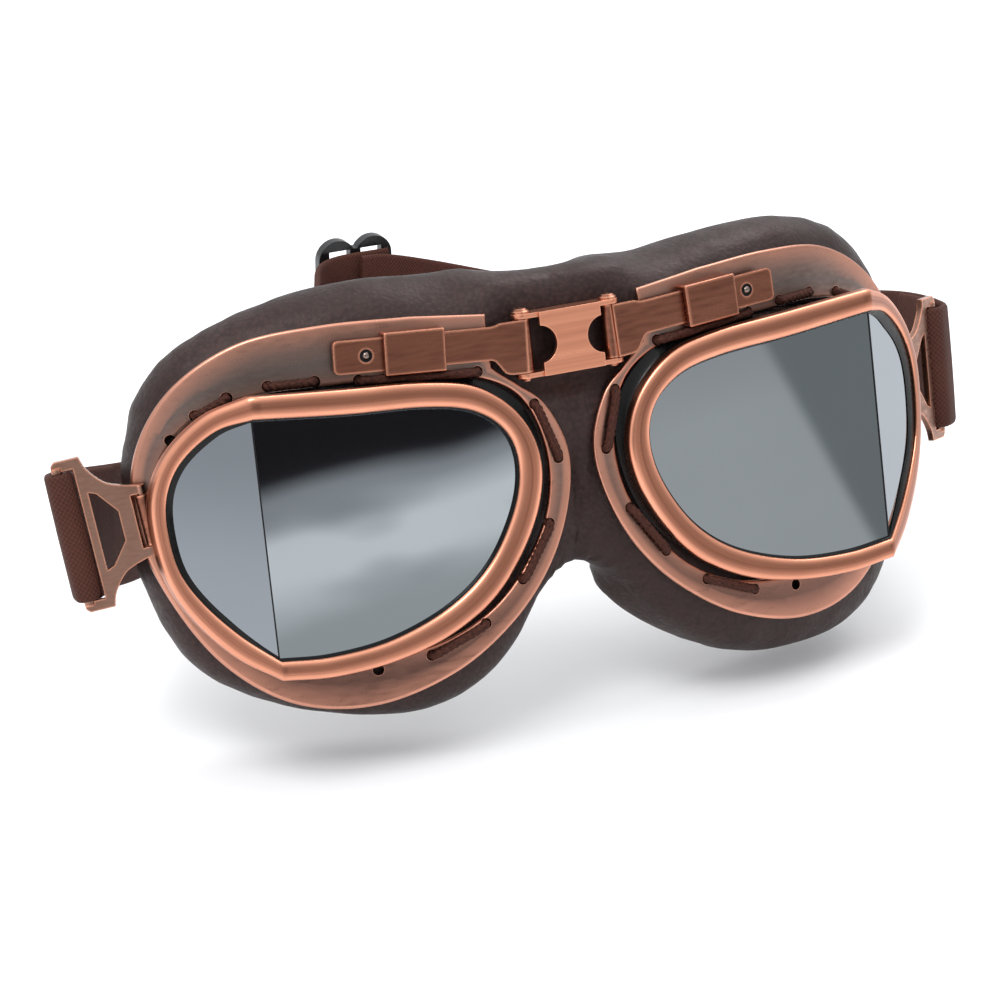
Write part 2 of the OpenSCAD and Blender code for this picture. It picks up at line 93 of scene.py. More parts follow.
# ---- geometry helpers
def stand(points, side=1):
    """Points of the upright design in mm, on either side, as the frame's points in metres."""
    p = np.array(points, float)
    p[..., 0] *= side
    c, s = math.cos(LEAN), math.sin(LEAN)
    leaned = np.stack([p[..., 0], p[..., 1] * c + p[..., 2] * s, p[..., 2] * c - p[..., 1] * s], -1)
    return (leaned - CENTRE) * MM


def table(points):
    """Points in mm from the middle of the bridge and above the table, as the frame's in metres."""
    return (np.array(points, float) - CENTRE * (1, 1, 0)) * MM


def spline(points, steps, closed=False):
    """A smooth curve through the points, with steps points in each span."""
    p = np.array(points, float)
    if closed:
        p = np.concatenate([p[-1:], p, p[:2]])
    else:
        p = np.concatenate([[2 * p[0] - p[1]], p, [2 * p[-1] - p[-2]]])
    t = (np.arange(steps) / steps)[:, None]
    out = [(2 * b + (c - a) * t + (2 * a - 5 * b + 4 * c - d) * t ** 2 + (3 * b - a - 3 * c + d) * t ** 3) / 2
           for a, b, c, d in zip(p, p[1:], p[2:], p[3:])]
    if not closed:
        out.append(p[-2:-1])
    return np.concatenate(out)


def two_part(front, side, steps):
    """A closed outline of two smooth parts that meet in two corners."""
    return np.concatenate([spline(front, steps)[:-1], spline(side, steps)[:-1]])


def smoothstep(a, b, x):
    """0 up to a, 1 from b on, and a smooth rise between them."""
    t = np.clip((x - a) / (b - a), 0, 1)
    return t * t * (3 - 2 * t)


def unit(v):
    return v / np.linalg.norm(v, axis=-1, keepdims=True)


def resample(path, step):
    """The path at even steps, and each new point's distance along it."""
    s = np.concatenate([[0], np.cumsum(np.linalg.norm(np.diff(path, axis=0), axis=1))])
    t = np.linspace(0, s[-1], max(3, int(s[-1] / step)))
    return np.stack([np.interp(t, s, path[:, k]) for k in range(3)], 1), t


def new_object(name, mesh):
    ob = bpy.data.objects.new(name, mesh)
    bpy.context.scene.collection.objects.link(ob)
    return ob


def shade(mesh, angle=35):
    """Smooth shading with edges sharper than the angle kept crisp."""
    bm = bmesh.new()
    bm.from_mesh(mesh)
    bmesh.ops.recalc_face_normals(bm, faces=bm.faces)
    for face in bm.faces:
        face.smooth = True
    for edge in bm.edges:
        edge.smooth = len(edge.link_faces) != 2 or edge.calc_face_angle(0) < math.radians(angle)
    bm.to_mesh(mesh)
    bm.free()
    mesh.update()


def grid(name, rows, closed_u=True, closed_v=True, wear=None, angle=35):
    """A mesh of n by m points: closed or capped along n, closed along m. Its UV map is in cm."""
    rows = np.asarray(rows, float)
    n, m = rows.shape[:2]
    along = np.linalg.norm(np.roll(rows, -1, 0) - rows, axis=2).mean(1)
    across = np.linalg.norm(np.roll(rows, -1, 1) - rows, axis=2).mean(0)
    u = np.concatenate([[0], np.cumsum(along)]) * 100
    v = np.concatenate([[0], np.cumsum(across)]) * 100
    faces, uvs = [], []
    for i in range(n if closed_u else n - 1):
        for j in range(m if closed_v else m - 1):
            k, q = (i + 1) % n, (j + 1) % m
            faces.append((i * m + j, k * m + j, k * m + q, i * m + q))
            uvs += [(u[i], v[j]), (u[i + 1], v[j]), (u[i + 1], v[j + 1]), (u[i], v[j + 1])]
    if not closed_u and closed_v:
        for row in (range(m), range((n - 1) * m, n * m)):
            faces.append(tuple(row))
            uvs += [(u[0], v[j]) for j in range(m)]
    mesh = bpy.data.meshes.new(name)
    mesh.from_pydata(rows.reshape(-1, 3).tolist(), [], faces)
    layer = mesh.uv_layers.new(name="along")
    layer.data.foreach_set("uv", np.array(uvs, np.float32).ravel())
    attribute = mesh.attributes.new("wear", "FLOAT", "POINT")
    values = np.zeros((n, m)) if wear is None else np.broadcast_to(wear, (n, m))
    attribute.data.foreach_set("value", values.astype(np.float32).ravel())
    shade(mesh, angle)
    return new_object(name, mesh)


def tube(name, path, radius, sides=12, wear=None, ripple=None):
    """A closed round tube along a path in metres. ripple(phi, s) scales its radius."""
    path = np.asarray(path, float)
    tangent = unit(np.gradient(path, axis=0))
    up = np.array([0.0, 0.0, 1.0])
    frames = []
    for t in tangent:
        up = up - t * (up @ t)
        if np.linalg.norm(up) < 1e-6:
            up = np.cross(t, [1.0, 0, 0])
        up = up / np.linalg.norm(up)
        frames.append((up, np.cross(t, up)))
    s = np.concatenate([[0], np.cumsum(np.linalg.norm(np.diff(path, axis=0), axis=1))])
    phi = np.arange(sides) * 2 * math.pi / sides
    radius = np.broadcast_to(radius, len(path))
    rows = []
    for i, (a, b) in enumerate(frames):
        r = radius[i] * (ripple(phi, s[i]) if ripple else 1)
        rows.append(path[i] + np.outer(np.cos(phi) * r, a) + np.outer(np.sin(phi) * r, b))
    return grid(name, rows, closed_u=False, wear=wear, angle=60)


def join(name, objects):
    """Several objects as one piece."""
    bm = bmesh.new()
    keep = objects[0].data.copy()
    for ob in objects:
        bm.from_mesh(ob.data)
        bpy.data.objects.remove(ob)
    bm.to_mesh(keep)
    bm.free()
    return new_object(name, keep)


def apply_modifiers(ob):
    mesh = bpy.data.meshes.new_from_object(ob.evaluated_get(bpy.context.evaluated_depsgraph_get()))
    ob.modifiers.clear()
    ob.data = mesh


def read_points(mesh):
    points = np.empty(len(mesh.vertices) * 3, np.float32)
    mesh.vertices.foreach_get("co", points)
    return points.reshape(-1, 3).astype(float)


def write_points(mesh, points):
    mesh.vertices.foreach_set("co", np.asarray(points, np.float32).ravel())
    mesh.update()


def finish_piece(ob, body, material, slot, *nodes):
    """Gives a piece its material and the body it rides on, and hides the CAD nodes it stands for."""
    if material is not None:
        ob.data.materials.clear()
        ob.data.materials.append(material)
    if nodes:
        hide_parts(*nodes)
    if body:
        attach(ob, body)
    return ob


# Points closer than WELD metres are one point, and faces flatter than FLAT are one face
WELD, FLAT, CRISP = 2e-6, math.radians(0.6), math.radians(30)


def bevelled_copy(node, width, segments=3):
    """A CAD node's shape as a new mesh with rounded edges."""
    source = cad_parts[node]
    bm = bmesh.new()
    bm.from_mesh(source.data)
    bm.transform(source.matrix_world)
    bmesh.ops.remove_doubles(bm, verts=bm.verts, dist=WELD)
    bmesh.ops.dissolve_limit(bm, angle_limit=FLAT, verts=bm.verts, edges=bm.edges)
    edges = [e for e in bm.edges if len(e.link_faces) == 2 and e.calc_face_angle(0) > CRISP]
    bmesh.ops.bevel(bm, geom=edges, offset=width * MM, offset_type="OFFSET", segments=segments,
                    profile=0.5, affect="EDGES", clamp_overlap=True)
    mesh = bpy.data.meshes.new(node + "_round")
    bm.to_mesh(mesh)
    bm.free()
    shade(mesh, 42)
    ob = new_object(node + "_round", mesh)
    normals = ob.modifiers.new("normals", "WEIGHTED_NORMAL")
    normals.keep_sharp = True
    normals.weight = 100
    return ob


def paint(node, material):
    """A CAD node whose shape is right keeps it and gets a detailed material."""
    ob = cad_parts[node]
    if not ob.material_slots:
        ob.data.materials.append(material)
    for slot in ob.material_slots:
        slot.material = material


# ---- materials
class Nodes:
    """A short way to write the nodes of a material or a world, which end in its main node."""

    def __init__(self, owner, main, **settings):
        owner.use_nodes = True
        self.tree = owner.node_tree
        self.main = self.tree.nodes[main]
        for key, value in settings.items():
            self.out(value, key.replace("_", " "))

    def add(self, kind, inputs=None, **props):
        node = self.tree.nodes.new(kind)
        for key, value in props.items():
            setattr(node, key, value)
        for key, value in (inputs or {}).items():
            self.put(value, node.inputs[key])
        return node

    def put(self, value, socket):
        if isinstance(value, bpy.types.NodeSocket):
            self.tree.links.new(value, socket)
        else:
            socket.default_value = value

    def out(self, value, name):
        self.put(value, self.main.inputs[name])

    def math(self, operation, a, b=0.0, clamp=False):
        return self.add("ShaderNodeMath", {0: a, 1: b}, operation=operation, use_clamp=clamp).outputs[0]

    def mix(self, factor, a, b):
        node = self.add("ShaderNodeMix", data_type="RGBA")
        self.put(factor, node.inputs[0])
        self.put(a, node.inputs[6])
        self.put(b, node.inputs[7])
        return node.outputs[2]

    def ramp(self, value, low, high, from_value=0.0, to_value=1.0):
        inputs = {0: value, 1: low, 2: high, 3: from_value, 4: to_value}
        return self.add("ShaderNodeMapRange", inputs).outputs[0]

    def coords(self, kind="Object", scale=(1, 1, 1), rotation=(0, 0, 0)):
        source = self.add("ShaderNodeTexCoord").outputs[kind]
        if kind == "UV":
            source = self.add("ShaderNodeUVMap", uv_map="along").outputs[0]
        turned = self.add("ShaderNodeMapping", {"Vector": source, "Rotation": rotation}).outputs[0]
        return self.add("ShaderNodeMapping", {"Vector": turned, "Scale": scale}).outputs[0]

    def noise(self, vector, detail=3.0, roughness=0.5):
        inputs = {"Vector": vector, "Scale": 1.0, "Detail": detail, "Roughness": roughness}
        return self.add("ShaderNodeTexNoise", inputs).outputs[0]

    def bump(self, height, strength, distance, normal=None):
        inputs = {"Height": height, "Strength": strength, "Distance": distance}
        if normal is not None:
            inputs["Normal"] = normal
        return self.add("ShaderNodeBump", inputs).outputs[0]


class Material(Nodes):
    def __init__(self, name, **settings):
        self.made = bpy.data.materials.new(name)
        super().__init__(self.made, "Principled BSDF", **settings)


# How strongly a rounded edge counts as rubbed, and the heights between which a plate turns to its low colour
RUB_GAIN = 14.0
LOW_FROM, LOW_TO = 0.045, 0.075
METAL_ROUGHNESS = 0.3
EDGE = (0.86, 0.375, 0.24, 1)
DULL_EDGE = (0.63, 0.29, 0.20, 1)
LEANED = (-LEAN, 0, 0)


def brushed(name, middle, dark, edge=EDGE, kind="Object", rotation=LEANED, streaks=(20, 1200, 1200),
            edge_mm=0.5, low=None):
    """Plated sheet metal: a brushed, darkened middle and edges rubbed back to bright copper.
    low is the colour that the middle takes towards the object's foot."""
    n = Material(name, Metallic=1.0)
    fine = n.noise(n.coords(kind, streaks, rotation), 1.0)
    bands = n.noise(n.coords(kind, tuple(k * 0.3 for k in streaks), rotation), 1.0)
    broad = n.noise(n.coords("Object", (70, 70, 70)), 2.0)
    soft = n.add("ShaderNodeBevel", {"Radius": edge_mm * MM}, samples=6).outputs[0]
    flat = n.add("ShaderNodeNewGeometry").outputs["Normal"]
    turn = n.add("ShaderNodeVectorMath", {0: soft, 1: flat}, operation="DOT_PRODUCT").outputs["Value"]
    rubbed = n.math("MULTIPLY", n.math("SUBTRACT", 1.0, turn), RUB_GAIN, clamp=True)
    rubbed = n.math("MAXIMUM", rubbed, n.add("ShaderNodeAttribute", attribute_name="wear").outputs["Fac"])
    rubbed = n.math("MULTIPLY", rubbed, n.ramp(broad, 0.3, 0.7, 0.75, 1.0), clamp=True)
    grain = n.math("ADD", n.math("MULTIPLY", fine, 0.6), n.math("MULTIPLY", bands, 0.4))
    tone = n.mix(n.ramp(grain, 0.26, 0.72), dark, middle)
    if low is not None:
        height = n.add("ShaderNodeSeparateXYZ", {0: n.coords("Object")}).outputs[2]
        uneven = n.math("ADD", height, n.math("MULTIPLY", broad, 0.02))
        tone = n.mix(n.ramp(uneven, LOW_FROM, LOW_TO, 0.85, 0.0), tone, low)
    n.out(n.mix(rubbed, tone, edge), "Base Color")
    n.out(n.ramp(grain, 0.3, 0.7, METAL_ROUGHNESS + 0.1, METAL_ROUGHNESS - 0.06), "Roughness")
    return n.made


copper = brushed("copper", (0.31, 0.125, 0.080, 1), (0.12, 0.047, 0.031, 1), edge_mm=0.8)
# The bridge link's copper: a brighter copy of the arms' brushed copper, a painted highlight.
copper_with_painted_highlight = brushed("copper_with_painted_highlight", (0.80, 0.35, 0.22, 1), (0.52, 0.205, 0.125, 1))
worn_copper = brushed("worn_copper", (0.35, 0.20, 0.15, 1), (0.22, 0.12, 0.088, 1))
copper_ring = brushed("copper_ring", (0.29, 0.113, 0.070, 1), (0.13, 0.049, 0.031, 1),
                      kind="UV", rotation=(0, 0, 0), streaks=(0.35, 42, 1))
plate_metal = brushed("plate_metal", (0.24, 0.185, 0.165, 1), (0.135, 0.105, 0.095, 1),
                      edge=DULL_EDGE, edge_mm=0.3, low=(0.21, 0.103, 0.078, 1))
LENS_TINT = (0.90, 0.98, 1.06)


def lens_material(name, shade):
    """A grey mirror coating that sends back that share of the light."""
    n = Material(name, Metallic=1.0, Roughness=0.025)
    wave = n.noise(n.coords("Object", (9, 9, 16)), 1.0)
    film = n.noise(n.coords("Object", (30, 30, 50)), 2.0)
    tints = [tuple(shade * k * c for c in LENS_TINT) + (1,) for k in (0.96, 1.06)]
    n.out(n.mix(film, *tints), "Base Color")
    n.out(n.bump(wave, 0.25, 0.0004), "Normal")
    return n.made


def rubber_material():
    """Black moulded rubber, fairly glossy."""
    n = Material("rubber", Base_Color=(0.0045, 0.0042, 0.0045, 1), Roughness=0.22)
    grain = n.noise(n.coords("Object", (900, 900, 900)), 2.0)
    n.out(n.bump(grain, 0.08, 0.00005), "Normal")
    n.out(n.ramp(grain, 0.3, 0.7, 0.16, 0.34), "Roughness")
    n.out(0.22, "Specular IOR Level")
    return n.made


def leather_material():
    """Dark brown leather: a fine pebble grain whose cells drift, and soft creases."""
    n = Material("leather", IOR=1.5)
    place = n.coords("Object")
    drift = n.add("ShaderNodeTexNoise", {"Vector": place, "Scale": 900.0}).outputs["Color"]
    drift = n.add("ShaderNodeVectorMath", {0: drift, "Scale": 0.0005}, operation="SCALE").outputs[0]
    bent = n.add("ShaderNodeVectorMath", {0: place, 1: drift}, operation="ADD").outputs[0]
    cells = n.add("ShaderNodeTexVoronoi", {"Vector": bent, "Scale": 1250.0}, feature="SMOOTH_F1")
    pebble = cells.outputs["Distance"]
    crease = n.noise(n.coords("Object", (240, 240, 420)), 5.0, 0.65)
    broad = n.noise(n.coords("Object", (45, 45, 45)), 3.0)
    tone = n.mix(n.ramp(broad, 0.3, 0.7), (0.021, 0.0105, 0.0095, 1), (0.035, 0.0185, 0.0165, 1))
    n.out(n.mix(n.ramp(pebble, 0.15, 0.75), tone, (0.011, 0.0062, 0.0057, 1)), "Base Color")
    n.out(n.ramp(crease, 0.3, 0.7, 0.42, 0.58), "Roughness")
    n.out(0.33, "Specular IOR Level")
    n.out((1.0, 0.80, 0.77, 1), "Specular Tint")
    first = n.bump(n.math("MULTIPLY", pebble, -1.0), 0.35, 0.00022)
    n.out(n.bump(crease, 0.25, 0.0005, first), "Normal")
    return n.made


def fleece_material():
    """The dark pile of the face lining."""
    n = Material("fleece", Roughness=0.95)
    pile = n.noise(n.coords("Object", (2600, 2600, 2600)), 3.0, 0.7)
    n.out(n.mix(n.ramp(pile, 0.3, 0.7), (0.008, 0.007, 0.007, 1), (0.035, 0.032, 0.032, 1)), "Base Color")
    n.out(n.bump(pile, 0.9, 0.0004), "Normal")
    n.out(0.5, "Sheen Weight")
    return n.made


def webbing_material():
    """Woven elastic, ribbed along and across the strap, with a little fuzz."""
    n = Material("webbing", Roughness=0.78)
    uv = n.add("ShaderNodeSeparateXYZ", {0: n.coords("UV")})
    fuzz = n.noise(n.coords("Object", (1400, 1400, 1400)), 3.0, 0.6)
    wander = n.math("MULTIPLY", n.math("SUBTRACT", fuzz, 0.5), 0.9)
    warp = n.math("SINE", n.math("ADD", n.math("MULTIPLY", uv.outputs[1], 62.0), wander))
    weft = n.math("SINE", n.math("ADD", n.math("MULTIPLY", uv.outputs[0], 88.0), wander))
    knit = n.math("MULTIPLY", warp, weft)
    height = n.math("ADD", n.math("MULTIPLY", knit, 0.5), n.math("MULTIPLY", fuzz, 0.5))
    # The weave's low points are painted darker: painted shade in its hollows.
    shadow = n.ramp(height, -0.4, 0.7)
    worn = n.noise(n.coords("Object", (60, 60, 60)), 3.0)
    tone = n.mix(shadow, (0.020, 0.0055, 0.0035, 1), (0.075, 0.021, 0.0125, 1))
    n.out(n.mix(n.ramp(worn, 0.35, 0.75, 0.0, 0.3), tone, (0.10, 0.030, 0.018, 1)), "Base Color")
    n.out(n.bump(height, 0.6, 0.00025), "Normal")
    n.out(0.25, "Specular IOR Level")
    return n.made


def lace_material():
    """Waxed brown cord with fibres along it."""
    n = Material("lace", Roughness=0.75)
    n.out(0.15, "Specular IOR Level")
    fibre = n.noise(n.coords("UV", (12, 40, 1)), 3.0)
    n.out(n.mix(n.ramp(fibre, 0.3, 0.7), (0.016, 0.005, 0.004, 1), (0.085, 0.028, 0.018, 1)), "Base Color")
    n.out(n.bump(fibre, 0.4, 0.0001), "Normal")
    return n.made


def nylon_material():
    """Glossy black moulded nylon."""
    n = Material("black_nylon")
    speckle = n.noise(n.coords("Object", (700, 700, 700)), 2.0)
    n.out(n.mix(speckle, (0.0055, 0.0055, 0.006, 1), (0.00825, 0.00825, 0.009, 1)), "Base Color")
    n.out(n.ramp(speckle, 0.3, 0.7, 0.25, 0.37), "Roughness")
    n.out(n.bump(speckle, 0.06, 0.00005), "Normal")
    return n.made


def steel_material():
    """The width stops' steel, rubbed unevenly."""
    n = Material("steel", Metallic=1.0, Base_Color=(0.24, 0.19, 0.17, 1))
    scratch = n.noise(n.coords("Object", (900, 900, 900)), 3.0)
    n.out(n.ramp(scratch, 0.3, 0.7, 0.16, 0.34), "Roughness")
    return n.made


# Each lens's mirror strength. The right lens gets a brighter copy of the left's grey mirror: painted light.
LENS_MIRROR_PAINTED_LIGHT = {"left": 0.24, "right": 0.275}
lens_glass = {name: lens_material(f"lens_{name}", shade) for name, shade in LENS_MIRROR_PAINTED_LIGHT.items()}
rubber = rubber_material()
leather = leather_material()
fleece = fleece_material()
webbing = webbing_material()
lace_cord = lace_material()
black_nylon = nylon_material()
steel = steel_material()

# ---- outlines
# Upright x and z in mm, for the +X eyecup
RIM_OUT_FRONT = [[64, -5.4], [54, -6.5], [42, -5.8], [30, -2.7], [20, 3.6], [12.2, 14],
                 [9.1, 25], [11.8, 34.5], [19.5, 41.5], [30, 44.2], [46, 45.5], [64, 47]]
RIM_OUT_SIDE = [[64, 47], [71, 44], [76.8, 38.2], [80, 31.5], [80.8, 24.5], [79.6, 15],
                [76.3, 7], [70.5, -0.6], [64, -5.4]]
RIM_IN_FRONT = [[64, -1.8], [54, -2.7], [42, -1.7], [30, 2.4], [21.5, 8.7], [15.6, 17.8],
                [13.6, 26], [15.5, 32.8], [21.5, 37.6], [31, 39.8], [46, 40.9], [64, 42.8]]
RIM_IN_SIDE = [[64, 42.8], [69.6, 41.2], [74.8, 36.6], [77.6, 31.3], [78.5, 25], [77.6, 16.6],
               [74.8, 10.3], [69.8, 3.7], [64, -1.8]]
PLATE_OUT = [[15.7, 44.6], [11, 40.6], [6, 36], [2.6, 27], [4.2, 16.5], [9.5, 6], [18, -3],
             [30, -10.4], [45, -14.2], [59, -12], [70, -3.5], [77.5, 9.5], [81.5, 24], [80, 37],
             [73, 48], [61, 55], [46, 56.6], [30, 56]]
PLATE_TONGUE = [[30, 56], [15.7, 54.4]]
PLATE_IN = [[7, 27], [8.3, 17], [13.6, 7.8], [21.2, 0.4], [31.6, -4.2], [44, -5.4], [56, -4.2],
            [66, 1.5], [73, 9.5], [77, 18], [77.6, 27], [75.6, 36], [69, 42.6], [58, 45.4],
            [44, 45.4], [28, 44.9], [16.5, 42.2], [10, 37]]
GASKET_BASE = [[63, -1.2], [54, -3.9], [42, -4.2], [31, -2.2], [21.5, 2.4], [11.6, 12.2],
               [7.7, 25], [10.2, 36.2], [19.6, 43.6], [30, 45.2], [46, 45.4], [62, 44.1],
               [70, 40.8], [75, 35.6], [77, 30], [77, 22.6], [75.2, 15], [72.2, 9], [68, 4]]
# The leather's skin, out from the nose and round. The left one is pushed up underneath
LEATHER_NOSE = [[5.5, 27], [5.8, 12], [6, 2], [9.5, -6], [16, -13.5], [24.5, -18.5]]
LEATHER_OUT = {
    "left": LEATHER_NOSE + [[32, -20.5], [44, -19.5], [56, -16.3], [67.5, -10.7], [74.5, -4], [79, 8],
                            [80.7, 25], [79.2, 40.5], [75.8, 48.5], [69, 56], [55, 61.8], [39, 64.8],
                            [20, 63.8], [9, 61.8]],
    "right": LEATHER_NOSE + [[33, -22], [46, -23.4], [58, -22.8], [68, -18.5], [76, -9.5], [81.5, 8],
                             [83, 28], [80.8, 44], [73.8, 56.2], [61, 62.4], [44, 63.7], [20, 62.3],
                             [9, 60.8]],
}
CUSHION_IN = [[16, 27], [17.6, 18.6], [22.6, 11], [30, 5], [39.5, 1], [49, 0], [59, 1.6],
              [67, 6.4], [73, 14], [75.6, 24], [74, 33], [68, 39.6], [57, 41.4], [44, 41],
              [31, 39.6], [20, 34.6]]
LACE_HOLES = np.array([[5, 26], [8.4, 36.6], [18.6, 44.2], [40.6, 45.8], [48.4, 46.6], [56.6, 46.8],
                       [63.8, 45.6], [69.4, 43], [74, 39], [44, -7.6], [34, -6.4], [23.2, -2.2],
                       [15, 4.8], [8.4, 14.2]])
STITCHES = [(0, 1), (2, 3), (4, 5), (6, 7), (10, 11), (12, 13)]
# Each rim is two planes that meet at the kink. Each plate is bent round the face at WRAP_R
KINK_X, KINK_Y = 64, -10.5
FRONT_ANGLE, SIDE_ANGLE = math.radians(2.2), math.radians(38.4)
RIM_DEPTH = 2.6
WRAP_R, FRONT_Y, PLATE_T = 172, -10.8, 1.1
PLATE_TILT, PLATE_MID_Z = math.radians(3), 25
PLATE_CENTRE = np.array([42, 22])
CUSHION_DEPTH, CUSHION_TAPER = 19, 5.5


def rim_y(x):
    """The front of the rims' planes."""
    return KINK_Y + (x - KINK_X) * np.where(x > KINK_X, math.tan(SIDE_ANGLE), math.tan(FRONT_ANGLE))


def plate_y(x, z):
    """The front of the plates."""
    return FRONT_Y + WRAP_R - np.sqrt(WRAP_R ** 2 - x ** 2) + (z - PLATE_MID_Z) * math.tan(PLATE_TILT)


def cushion_depth(x):
    """How far the cushions reach behind the plates: less towards the temple."""
    return CUSHION_DEPTH - CUSHION_TAPER * (np.maximum(0, x - 30) / 54) ** 2


def polar(outline, centre, angles):
    """The outline's distance from the centre at each angle."""
    d = outline - centre
    theta = np.unwrap(np.arctan2(d[:, 1], d[:, 0]))
    if theta[-1] < theta[0]:
        theta, d = theta[::-1], d[::-1]
    radius = np.linalg.norm(d, axis=1)
    theta3 = np.concatenate([theta - 2 * math.pi, theta, theta + 2 * math.pi])
    return np.interp(angles, theta3, np.tile(radius, 3))


def around(outline, count):
    """Points on a closed outline at even angles about the eyecup's middle."""
    angles = np.linspace(-math.pi, math.pi, count + 1)[:-1]
    ray = np.stack([np.cos(angles), np.sin(angles)], 1)
    return PLATE_CENTRE + ray * polar(spline(outline, 12, closed=True), PLATE_CENTRE, angles)[:, None]


def inside(p, outline):
    x, y = outline[:, 0] - p[0], outline[:, 1] - p[1]
    turn = np.diff(np.unwrap(np.arctan2(np.append(y, y[0]), np.append(x, x[0])))).sum()
    return abs(turn) > 3


# ---- lens rims and gaskets
# Rim section: share of the width, depth in mm, and how far the plating is rubbed
RIM_SECTION = [(0, 1.5, 0.2), (0, 1.0, 0.6), (0.0, 0.72, 0.9), (0.02, 0.42, 1), (0.08, 0.16, 1),
               (0.17, 0.02, 0.85), (0.3, -0.07, 0.35), (0.5, -0.12, 0.1), (0.7, -0.07, 0.3),
               (0.83, 0.02, 0.8), (0.92, 0.16, 1), (0.98, 0.42, 1), (1, 0.75, 0.85), (1, 1.2, 0.4),
               (1, RIM_DEPTH, 0.3), (0.6, RIM_DEPTH, 0), (0.6, 1.5, 0)]
RIM_STEPS = 10
# The rubber bead round the lens is wider beside the side pane
BEAD_W = 0.45
BEAD_WIDER = {"left": 0.75, "right": 2.0}
WALL_T, WALL_BULGE, WALL_LIFT = 1.4, 0.55, 0.8
CREASE_BOTTOM, CREASE_TOP, CREASE_R = -2.6, 43.6, 0.16


def rim_mesh(name, side, inner, outer):
    share, depth, wear = np.array(RIM_SECTION).T
    rows = []
    for a, b in zip(inner, outer):
        p = a * (1 - share[:, None]) + b * share[:, None]
        rows.append(np.stack([p[:, 0], rim_y(p[:, 0]) + depth, p[:, 1]], 1))
    return grid(name, stand(rows, side), wear=wear, angle=50)


def bead_mesh(name, side, inner, outer, wider):
    """The black rubber bead between the rim and the lens."""
    toward = unit(inner - outer)
    width = BEAD_W + wider * smoothstep(63, 72, inner[:, 0])
    rows = []
    for a, t, w in zip(inner, toward, width):
        section = [(-0.3, 0.75), (0.15, 0.8), (0.6 * w, 1.0), (w, 1.35), (w, 1.6), (-0.3, 1.6)]
        p = np.array([a + t * q[0] for q in section])
        rows.append(np.stack([p[:, 0], rim_y(p[:, 0]) + [q[1] for q in section], p[:, 1]], 1))
    return grid(name, stand(rows, side), angle=50)


def wall_mesh(name, side, inner, outer):
    """The rubber wall from the rim back to the plate."""
    rows = []
    for a, b, c in zip(inner, outer, spline(GASKET_BASE, RIM_STEPS, closed=True)):
        f0, f1 = a * 0.4 + b * 0.6, a * 0.06 + b * 0.94
        inward = unit(f0 - f1)
        c0 = c + inward * WALL_T
        front, back = rim_y(f1[0]) + RIM_DEPTH, plate_y(*c) + WALL_LIFT
        section = [(f0, rim_y(f0[0]) + RIM_DEPTH), (f1, front)]
        for t in (0.25, 0.5, 0.75):
            p = f1 * (1 - t) + c * t + inward * WALL_BULGE * math.sin(math.pi * t)
            section.append((p, front * (1 - t) + back * t))
        section += [(c, back), (c0, plate_y(*c0) + WALL_LIFT)]
        rows.append([(p[0], y, p[1]) for p, y in section])
    return grid(name, stand(rows, side), angle=50)


rim_outer = two_part(RIM_OUT_FRONT, RIM_OUT_SIDE, RIM_STEPS)
rim_inner = two_part(RIM_IN_FRONT, RIM_IN_SIDE, RIM_STEPS)
for name, side in SIDES.items():
    body = f"eyecup_{name}"
    rim = rim_mesh(f"lens_rim_{name}_formed", side, rim_inner, rim_outer)
    finish_piece(rim, body, copper_ring, "copper", f"lens_rim_{name}")
    bead = bead_mesh(f"lens_bead_{name}", side, rim_inner, rim_outer, BEAD_WIDER[name])
    finish_piece(bead, body, rubber, "gasket")
    crease = stand([[KINK_X, KINK_Y + 1.5, z] for z in (CREASE_BOTTOM, CREASE_TOP)], side)
    finish_piece(tube(f"lens_crease_{name}", crease, CREASE_R * MM, 8), body, rubber, "gasket")
    wall = wall_mesh(f"lens_gasket_{name}_moulded", side, rim_inner, rim_outer)
    finish_piece(wall, body, rubber, "gasket", f"lens_gasket_{name}")


# ---- frame plates and lacing
EDGE_R = 0.38
# Loops from an edge of the plate: distance from it and from the front face in mm, how far the plating is
# rubbed there along the inner edge, and along the outer edge
EDGE_LOOPS = [(0, PLATE_T / 2, 0.9, 0.9), (0, EDGE_R, 1, 1), (0.11, 0.11, 1, 1), (EDGE_R, 0, 0.9, 0.95),
              (0.75, 0, 0.45, 0.85), (1.4, 0, 0.22, 0.7), (2.6, 0, 0.08, 0.45), (4.2, 0, 0, 0.15)]
# Loops across the back: share of the width, and distance from the front face
BACK_LOOPS = [(1, PLATE_T - 0.3), (0.985, PLATE_T), (0.5, PLATE_T), (0.015, PLATE_T), (0, PLATE_T - 0.3)]
BACK_WEAR = 0.2
HOLE_R = 1.05


